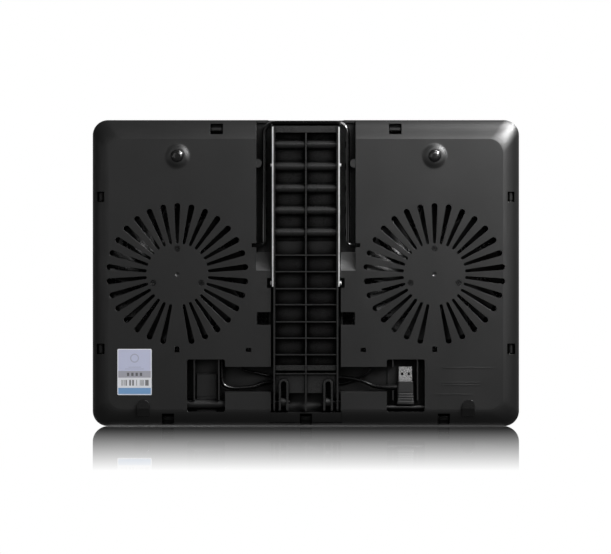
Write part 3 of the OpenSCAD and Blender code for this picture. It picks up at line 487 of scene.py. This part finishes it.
def tube(name, points, radius, node, boot=0.0):
    """A round cable swept along a smooth path through points, in millimetres.

    boot is how much thicker the cable's moulded strain relief is, over its first stretch"""
    path = smooth_path(points)
    sides, boot_length = 20, 34.0
    turns = [TURN * k / sides for k in range(sides)]
    travelled = 0.0
    rings = []
    across = Vector((0, 0, 1))
    for i, p in enumerate(path):
        along = (path[min(i + 1, len(path) - 1)] - path[max(i - 1, 0)]).normalized()
        across = (across - across.dot(along) * along).normalized()
        other = along.cross(across)
        if i:
            travelled += (p - path[i - 1]).length
        left = min(max((boot_length - travelled) / boot_length, 0.0), 1.0)
        r = radius + boot * left * left * (3 - 2 * left)
        rings.append([p + r * (math.cos(a) * across + math.sin(a) * other) for a in turns])
    bm = bmesh.new()
    stack(bm, rings)
    piece(name, bm, "cable_pvc", node)


# ---------- deck ----------


def deck_mesh():
    """The perforated sheet: diamond holes in straight rows, inside a plain rim"""
    low, high = box_mm("mesh_panel")
    pitch, hole, rim, corner = 3.55, 1.36, 5.5, 8.8
    half_w, half_d = middle_and_half(low, high)[1].xy
    columns = int(2 * (half_w - rim) / pitch)
    rows = int(2 * (half_d - rim) / pitch)
    field_w, field_d = columns * pitch / 2, rows * pitch / 2
    bm = bmesh.new()
    corners = {}
    layers = (low.z, high.z)
    for level, z in enumerate(layers):
        for i in range(columns + 1):
            for j in range(rows + 1):
                corners[level, i, j] = bm.verts.new((i * pitch - field_w, j * pitch - field_d, z))
    for i in range(columns):
        for j in range(rows):
            x, y = (i + 0.5) * pitch - field_w, (j + 0.5) * pitch - field_d
            rings = []
            for level, z in enumerate(layers):
                ring = [bm.verts.new((x + hole * dx, y + hole * dy, z))
                        for dx, dy in ((1, 0), (0, 1), (-1, 0), (0, -1))]
                square = [corners[level, i + a, j + b] for a, b in ((1, 0), (1, 1), (0, 1), (0, 0))]
                for k in range(4):
                    n = (k + 1) % 4
                    bm.faces.new((square[k], square[n], ring[k]))
                    bm.faces.new((ring[k], square[n], ring[n]))
                rings.append(ring)
            for k in range(4):
                n = (k + 1) % 4
                bm.faces.new((rings[0][k], rings[0][n], rings[1][n], rings[1][k]))
    walk = [(i, 0) for i in range(columns)] + [(columns, j) for j in range(rows)]
    walk += [(i, rows) for i in range(columns, 0, -1)] + [(0, j) for j in range(rows, 0, -1)]
    outer = []
    for z in layers:
        ring = []
        for i, j in walk:
            x = corners[0, i, j].co.x * half_w / field_w
            y = corners[0, i, j].co.y * half_d / field_d
            cx, cy = abs(x) - (half_w - corner), abs(y) - (half_d - corner)
            if cx > 0 and cy > 0:
                reach = corner / math.hypot(cx, cy)
                x = math.copysign(half_w - corner + cx * reach, x)
                y = math.copysign(half_d - corner + cy * reach, y)
            ring.append(bm.verts.new((x, y, z)))
        outer.append(ring)
    for k in range(len(walk)):
        n = (k + 1) % len(walk)
        for level in (0, 1):
            inner = [corners[level, walk[m][0], walk[m][1]] for m in (k, n)]
            bm.faces.new((inner[0], inner[1], outer[level][n], outer[level][k]))
        bm.faces.new((outer[0][k], outer[0][n], outer[1][n], outer[1][k]))
    piece("deck_mesh", bm, "deck_metal", "mesh_panel", smooth=False)


def grip_pads():
    """Four soft strips with fine cross ribs on their tops"""
    low, high = box_mm("grip_strips")
    length, width, edge = 84.0, 9.0, 0.6
    end_radius, ribbed_length = width / 2 - 0.02, length - width - 2
    rib_count, rib_h, rib_root, rib_half_t, rib_edge = 24, 0.25, 0.1, 0.7, 0.24
    rib_half_w, rib_end_radius = width / 2 - 1.6, 0.65
    rib_step = ribbed_length / (rib_count - 1)
    top = high.z - rib_h
    bm = bmesh.new()
    for sx in (-1, 1):
        for sy in (-1, 1):
            x, y = sx * (high.x - length / 2), sy * (high.y - width / 2)
            soft_slab(bm, (x, y), length / 2, width / 2, end_radius, low.z, top, edge)
            for i in range(rib_count):
                rib_x = x + (i - (rib_count - 1) / 2) * rib_step
                soft_slab(bm, (rib_x, y), rib_half_t, rib_half_w, rib_end_radius, top - rib_root,
                          high.z, rib_edge, steps=3)
    piece("grip_pads", bm, "grip_rubber", "grip_strips")


# ---------- feet ----------


def feet():
    """Two feet with a small flat and a soft dome round it"""
    low, high = box_mm("rear_feet")
    radius = (high.y - low.y) / 2
    y = (high.y + low.y) / 2
    flat_share, rim, steps, fullness = 0.25, 0.3, 14, 2.4
    flat, dome = flat_share * radius, high.z - low.z - rim
    profile = [(0, low.z), (flat, low.z)]
    for i in range(1, steps + 1):
        share = math.sin(i / steps * math.pi / 2)
        rise = dome * (1 - math.sqrt(1 - share ** fullness))
        profile.append((flat + share * (radius - flat), low.z + rise))
    profile += [(radius, high.z), (0, high.z)]
    bm = bmesh.new()
    for s in (-1, 1):
        lathe(bm, (s * (high.x - radius), y), profile, 72)
    piece("foot_domes", bm, "foot_plastic", "rear_feet")


# ---------- fans ----------


def hub(bm, centre, low_z, high_z, cup_r, cup_top, radius):
    """The wheel's turned hub: a cap with a rounded shoulder, open below for the rotor cup"""
    dish_r, dish_depth, dish_slope = 7.5, 0.5, 0.6
    shoulder, steps, lip, lip_rise = 1.2, 6, 0.3, 0.4
    profile = [(0, high_z - dish_depth), (dish_r, high_z - dish_depth),
               (dish_r + dish_slope, high_z), (radius - shoulder, high_z)]
    for i in range(1, steps + 1):
        a = i / steps * math.pi / 2
        profile.append((radius - shoulder + shoulder * math.sin(a),
                        high_z - shoulder + shoulder * math.cos(a)))
    profile += [(radius, low_z + lip_rise), (radius - lip, low_z), (cup_r, low_z),
                (cup_r, cup_top), (0, cup_top)]
    lathe(bm, centre, profile, 96)


def blade(bm, centre, start, root_r, tip_r, low_z, high_z):
    """One swept, cambered blade whose root is at the angle start, and that flattens and widens
    towards its tip. It is thinnest at its two edges"""
    along, chords = 12, 10
    sweep, half_angle, widening = math.radians(20), 15.5, 1.5
    flattening, camber, camber_loss = 0.25, 0.9, 0.4
    edge_half_t, belly_half_t, room = 0.35, 0.45, 2.4
    middle = (low_z + high_z) / 2
    rings = []
    for j in range(along + 1):
        u = j / along
        r = root_r + u * (tip_r - root_r)
        half = math.radians(half_angle + widening * u)
        rise = (high_z - low_z - room) / 2 * (1 - flattening * u)
        upper, lower = [], []
        for k in range(chords + 1):
            c = 2 * k / chords - 1
            full = 1 - c * c
            a = start + sweep * u * u + half * c
            thick = edge_half_t + belly_half_t * full
            z = middle + rise * c + camber * full * (1 - camber_loss * u)
            x, y = centre[0] + r * math.cos(a), centre[1] + r * math.sin(a)
            upper.append((x, y, z + thick))
            lower.append((x, y, z - thick))
        rings.append(upper + lower[::-1])
    stack(bm, rings)


def impeller(side):
    """A turned hub with nine swept, cambered blades"""
    node = "impeller_" + side
    low, high = box_mm(node)
    cup_low, cup_high = box_mm("rotor_cup_" + side)
    centre = middle_and_half(low, high)[0].xy
    blades, hub_t, tip_gap, root_in, gap_low, gap_high = 9, 1.6, 0.1, 0.5, 0.3, 0.5
    cup_r = (cup_high.x - cup_low.x) / 2
    hub_r = cup_r + hub_t
    tip_r = (high.y - low.y) / 2 - tip_gap
    bm = bmesh.new()
    hub(bm, centre, low.z, high.z, cup_r, cup_high.z, hub_r)
    for b in range(blades):
        blade(bm, centre, TURN * b / blades, hub_r - root_in, tip_r, low.z + gap_low,
              high.z - gap_high)
    flat_shading(piece("fan_wheel_" + side, bm, "fan_plastic", node, body="rotor_" + side))


# ---------- cables ----------


def cables():
    """The power cable and the two fan leads, lying loose in the channel.

    Their ends come from the CAD boxes. The bends between them follow the channel, pass under the
    arm and go round the walls on its two sides"""
    plug_low, plug_high = box_mm("usb_plug_housing")
    splice_low, splice_high = box_mm("lead_splice")
    cable_low, cable_high = box_mm("usb_cable")
    lead_low, lead_high = box_mm("fan_lead_right")
    left_low, left_high = box_mm("fan_lead_left")
    cable_r, lead_r = 1.7, 1.2
    entry_y = plug_high.y - 5.6
    plug_z = (plug_low.z + plug_high.z) / 2
    deep_z, low_z = cable_high.z - cable_r - 0.1, cable_low.z + cable_r
    tube("power_cable", [
        (plug_high.x - 1.0, entry_y, plug_z), (-72, entry_y, plug_z),
        (-61, entry_y + 1.6, plug_z + 0.6), (-50, -98.2, deep_z - 2.6), (-34, -95.6, deep_z),
        (0, -97.2, deep_z), (34, -99.7, deep_z), (50, -103.9, deep_z - 1.8),
        (66, -105.0, low_z + 0.8), (74.5, -102.4, low_z), (76.7, -96, low_z), (76.7, -84, low_z),
        (75.9, -76.2, low_z), (splice_high.x - 1, -74.4, low_z),
    ], cable_r, "usb_cable", boot=0.7)
    high_z, base_z = lead_high.z - lead_r - 0.05, lead_low.z + lead_r
    wall_z = base_z + 3.5
    far_x = lead_low.x + lead_r
    row_y = (splice_low.y + splice_high.y) / 2 + 2.1
    tube("right_fan_lead", [
        (far_x, lead_high.y - lead_r, base_z), (far_x, row_y + 7, base_z),
        (far_x + 4, row_y, base_z), (-90, row_y, base_z), (-65, row_y - 0.3, base_z),
        (-59.6, -75.5, wall_z - 0.6), (-59, -84, wall_z), (-57.5, -90, wall_z),
        (-44, -97.7, high_z - 1.6), (-30, -101.3, high_z), (0, -99.2, high_z), (30, -94.7, high_z),
        (46, -91.2, high_z - 2.5), (57, -88.6, wall_z), (59, -84, wall_z), (59.6, -76, wall_z),
        (splice_low.x + 1, -73, wall_z),
    ], lead_r, "fan_lead_right")
    x, y, z = left_high.x - lead_r, left_low.y + lead_r, left_low.z + lead_r
    tube("left_fan_lead", [
        (x, left_high.y, z), (x, -50, z), (x, y + 3, z), (x - 1.2, y + 0.8, z), (x - 4, y, z),
        (95, y, z), (splice_high.x - 1, y, z),
    ], lead_r, "fan_lead_left")


def splice_sleeve():
    """A shrink sleeve over the joint, a little waisted, with drawn-in ends"""
    low, high = box_mm("lead_splice")
    middle, half = middle_and_half(low, high)
    steps, corner = 12, 2.2
    waist, flare, end_draw = 0.9, 0.1, 0.12
    rings = []
    for i in range(steps + 1):
        u = i / steps
        from_middle = abs(2 * u - 1)
        pinch = waist + flare * from_middle - end_draw * (i in (0, steps))
        x = low.x + u * (high.x - low.x)
        outline = rounded_outline(half.y * pinch, half.z * pinch, corner * pinch, 5)
        rings.append([(x, middle.y + a, middle.z + b) for a, b in outline])
    bm = bmesh.new()
    stack(bm, rings)
    soften(piece("splice_sleeve", bm, "cable_pvc", "lead_splice"), 0.15, 50)


def plug_grip():
    """The plug's moulded grip: it widens towards its socket end and has shallow finger grooves"""
    low, high = box_mm("usb_plug_housing")
    middle, half = middle_and_half(low, high)
    socket_low, socket_high = box_mm("usb_socket_shell")
    hole_middle, hole_half = middle_and_half(socket_low, socket_high)
    taper, nose, corner, gap, hole_corner = 1.2, 0.6, 2.2, 0.02, 0.5
    rear_start, rear_inset = 0.98, 0.35
    grooves, groove_start, groove_step, groove_t, groove_steps = 4, 0.45, 0.11, 0.16, 8
    length = high.y - low.y

    def ring(back, inset):
        """The outline at a share of the length behind the front, drawn in by inset"""
        left = high.x - taper * (1 - back) - inset
        right = low.x + taper * (1 - back) + inset
        outline = rounded_outline((left - right) / 2, half.z - inset, corner, 5)
        return [((left + right) / 2 + a, high.y - back * length, middle.z + b) for a, b in outline]

    rings = [ring(0.0, nose)]
    for a in (math.pi / 6, math.pi / 3, math.pi / 2):
        rings.append(ring(nose / length * (1 - math.cos(a)), nose * (1 - math.sin(a))))
    for g in range(grooves):
        for k in range(groove_steps + 1):
            u = k / groove_steps
            depth = groove_t * math.sin(math.pi * u) ** 2
            rings.append(ring(groove_start + (g + u) * groove_step, depth))
    rings += [ring(rear_start, 0.0), ring(1.0, rear_inset)]
    hole = rounded_outline(hole_half.x + gap, hole_half.z + gap, hole_corner, 5)
    for y in (low.y, socket_high.y + gap):
        rings.append([(hole_middle.x + a, y, hole_middle.z + b) for a, b in hole])
    bm = bmesh.new()
    stack(bm, rings)
    soften(piece("plug_grip", bm, "plug_plastic", "usb_plug_housing"), 0.1, 40)


def label_sheet():
    """The sticker, with rounded corners and a slightly soft edge"""
    low, high = box_mm("rating_label")
    middle, half = middle_and_half(low, high)
    corner, soft = 1.0, 0.05
    rings = []
    for inset, z in ((0.0, high.z), (0.0, low.z + soft), (soft, low.z)):
        outline = rounded_outline(half.x - inset, half.y - inset, corner - inset, 6)
        rings.append([(middle.x + x, middle.y + y, z) for x, y in outline])
    bm = bmesh.new()
    stack(bm, rings)
    piece("label_sheet", bm, "label_film", "rating_label", smooth=False)


# ---------- stage ----------


def seen_from(t, shader, low, high):
    """Shows shader only where the upward part of the direction to the viewer lies between low
    and high, and is clear elsewhere"""
    incoming = t.add("NewGeometry").outputs["Incoming"]
    up = t.add("SeparateXYZ", {"Vector": incoming}).outputs["Z"]
    clear = t.add("BsdfTransparent").outputs[0]
    shown = t.inside(up, low, high)
    return t.output(t.add("MixShader", {0: shown, 1: clear, 2: shader}).outputs[0])


def plane(name, corners, material, hidden_from):
    """A part of the stage that the named kinds of ray don't see"""
    mesh = bpy.data.meshes.new(name)
    mesh.from_pydata(corners, [], [(0, 1, 2, 3)])
    mesh.materials.append(material)
    obj = bpy.data.objects.new(name, mesh)
    bpy.context.scene.collection.objects.link(obj)
    for rays in hidden_from:
        setattr(obj, "visible_" + rays, False)


def level_plane(name, low_x, low_y, high_x, high_y, z, material, hidden_from):
    corners = [(low_x, low_y, z), (high_x, low_y, z), (high_x, high_y, z), (low_x, high_y, z)]
    plane(name, corners, material, hidden_from)


# Metres. The mirror image fades out where the view meets the floor FLOOR_REACH nearer the camera
CAMERA_DISTANCE = 4.0
FLOOR_REACH = 0.909

# The floors and cards are for the camera alone, so they are hidden from these kinds of ray
ALL_BUT_CAMERA = ("diffuse", "glossy", "shadow")


def mirror_floor():
    """The glossy white floor that the pad stands on, on its front edge, for the view from below"""
    t = Tree("mirror_floor")
    place = t.add("SeparateXYZ", {"Vector": t.add("TexCoord").outputs["Object"]}).outputs["Z"]
    ahead = t.math("MULTIPLY", place, -1.0, clamp=True)
    share = t.math("DIVIDE", ahead, t.math("SUBTRACT", CAMERA_DISTANCE, ahead))
    full = (CAMERA_DISTANCE - FLOOR_REACH) / FLOOR_REACH
    fade = t.math("POWER", t.math("MULTIPLY", share, full, clamp=True), 1.3)
    mirror = t.math("SUBTRACT", 1.0, fade, clamp=True)
    glossy = t.add("BsdfGlossy", {"Color": WHITE, "Roughness": 0.015}).outputs[0]
    shader = t.add("MixShader", {0: mirror, 1: t.glow(WHITE), 2: glossy}).outputs[0]
    half_w, back_z, front_z, contact_gap = 0.9, 0.03, -1.4, 0.01 * MM
    y = cad_bounds[0].y - contact_gap
    corners = [(-half_w, y, back_z), (-half_w, y, front_z), (half_w, y, front_z),
               (half_w, y, back_z)]
    plane("mirror_floor", corners, seen_from(t, shader, -1.01, -0.93), ALL_BUT_CAMERA)


def low_floor():
    """A pale floor well below the opened stand, for views from the side and from above"""
    t = Tree("low_floor")
    where = t.add("TexCoord").outputs["Object"]
    distance = t.add("VectorMath", {0: where}, operation="LENGTH").outputs["Value"]
    near, far, near_fade = 0.35, 1.1, 0.75
    fade = t.spread(distance, near, far, near_fade)
    cloth = t.add("BsdfDiffuse", {"Color": grey(250)}).outputs[0]
    shader = t.add("MixShader", {0: fade, 1: cloth, 2: t.glow(WHITE)}).outputs[0]
    half, z = 1.6, -0.26
    level_plane("low_floor", -half, -half, half, half, z, seen_from(t, shader, 0.0, 1.01),
                ALL_BUT_CAMERA)


def dark_card(name, rectangles, z, low_up, high_up):
    """A dark card inside the pad's outline, seen only from one side: a painted shade that makes the
    holes of the sheet and the openings of the shell look dark and not like the bright studio beyond
    them.

    Each rectangle is (low x, low y, high x, high y)"""
    t = Tree(name)
    material = seen_from(t, t.glow(grey(9)), low_up, high_up)
    for rectangle in rectangles:
        level_plane(name, *rectangle, z, material, ALL_BUT_CAMERA)


def dark_cards():
    """Painted shade cards: one over the deck for views from below. For views from above, one under
    the shell's flat and four narrow ones inside its band, behind the clip windows"""
    low, high = cad_bounds
    foot_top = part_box("rear_feet")[1].z

    def middle(inset):
        inset *= MM
        return (low.x + inset, low.y + inset, high.x - inset, high.y - inset)

    rim, flat, short = middle(5.5), middle(22), middle(35)
    band = [(short[0], rim[1], short[2], flat[1]), (short[0], flat[3], short[2], rim[3]),
            (rim[0], short[1], flat[0], short[3]), (flat[2], short[1], rim[2], short[3])]
    dark_card("card_over_deck", [middle(6)], high.z + MM, -1.01, -0.5)
    dark_card("card_under_shell", [middle(18)], foot_top + MM, 0.02, 1.01)
    dark_card("card_in_band", band, foot_top + 11 * MM, 0.02, 1.01)


def back_wall():
    """A white wall beyond the deck that only reflections see"""
    t = Tree("back_wall")
    half, z = 3, 1.6
    level_plane("back_wall", -half, -half, half, half, z, t.output(t.glow(WHITE)),
                ("camera", "diffuse", "shadow", "transmission"))


def world():
    """White behind the object, a dim even light elsewhere, and dimmer still in reflections"""
    dim_light, dim_shine = 0.11, 0.07
    t = Tree("studio", bpy.data.worlds.new("studio"))
    path = t.add("LightPath").outputs
    level = t.spread(path["Is Glossy Ray"], 0.0, 1.0, dim_light, dim_shine)
    dim = t.add("Background", {"Color": WHITE, "Strength": level}).outputs[0]
    seen = t.add("Background", {"Color": WHITE}).outputs[0]
    both = t.add("MixShader", {0: path["Is Camera Ray"], 1: dim, 2: seen}).outputs[0]
    t.add("OutputWorld", {"Surface": both})
    bpy.context.scene.world = t.owner


def softbox(name, place, target, size, power, only_shine=False):
    """A rectangular area light at place, aimed at target, in metres and watts. With only_shine it
    shows in reflections alone"""
    light = bpy.data.lights.new(name, "AREA")
    light.shape = "RECTANGLE"
    light.size, light.size_y = size
    light.energy = power
    obj = bpy.data.objects.new(name, light)
    obj.location = place
    aim = Vector(target) - Vector(place)
    obj.rotation_euler = aim.to_track_quat("-Z", "Y").to_euler()
    obj.visible_diffuse = not only_shine
    bpy.context.scene.collection.objects.link(obj)


def lights():
    """Soft lights on both sides of the pad. The picture's right is -X"""
    # below the pad, which is the side that the main view sees
    softbox("key_upper_right", (-0.48, 0.78, -0.24), (-0.15, 0.12, 0), (0.4, 0.3), 9)
    softbox("corner_glow", (-0.70, 0.66, -0.46), (-0.18, 0.12, 0), (0.10, 0.9), 30, only_shine=True)
    softbox("top_strip", (-0.35, 0.95, -0.20), (-0.1, 0, 0), (0.7, 0.16), 0.35)
    softbox("near_right", (-0.42, 0.46, -0.92), (-0.05, 0, 0), (0.5, 0.5), 5.0)
    softbox("front_left", (0.9, 0.3, -2.2), (0, 0, 0), (1.0, 1.0), 2.3)
    for x, power in ((-0.9, 0.15), (0.9, 0.25)):
        softbox("edge_strip", (x, 0.05, -0.55), (0, 0.05, 0), (0.05, 0.7), power, only_shine=True)
    # above the pad, for views of the deck
    softbox("deck_key", (-1.0, 0.9, 1.1), (0, 0, 0), (1.2, 0.8), 13)
    softbox("deck_fill", (0.5, -0.9, 1.5), (0, 0, 0), (1.0, 1.0), 12)


def camera():
    """Straight on to the underside, far enough off that the pad's edges look square"""
    data = bpy.data.cameras.new("camera")
    data.sensor_width = 36
    data.lens = 258.5
    data.clip_start, data.clip_end = 0.05, 50
    obj = bpy.data.objects.new("camera", data)
    aim_x, aim_y = 0.34 * MM, -3.53 * MM
    obj.location = (aim_x, aim_y, -CAMERA_DISTANCE)
    obj.rotation_euler = (0, math.pi, 0)
    bpy.context.scene.collection.objects.link(obj)
    bpy.context.scene.camera = obj


# ---------- build ----------

dress_cad_nodes()
deck_mesh()
grip_pads()
feet()
for side in ("left", "right"):
    impeller(side)
cables()
splice_sleeve()
plug_grip()
label_sheet()
mirror_floor()
low_floor()
dark_cards()
back_wall()
world()
lights()
camera()
bpy.context.scene.view_settings.view_transform = "Standard"
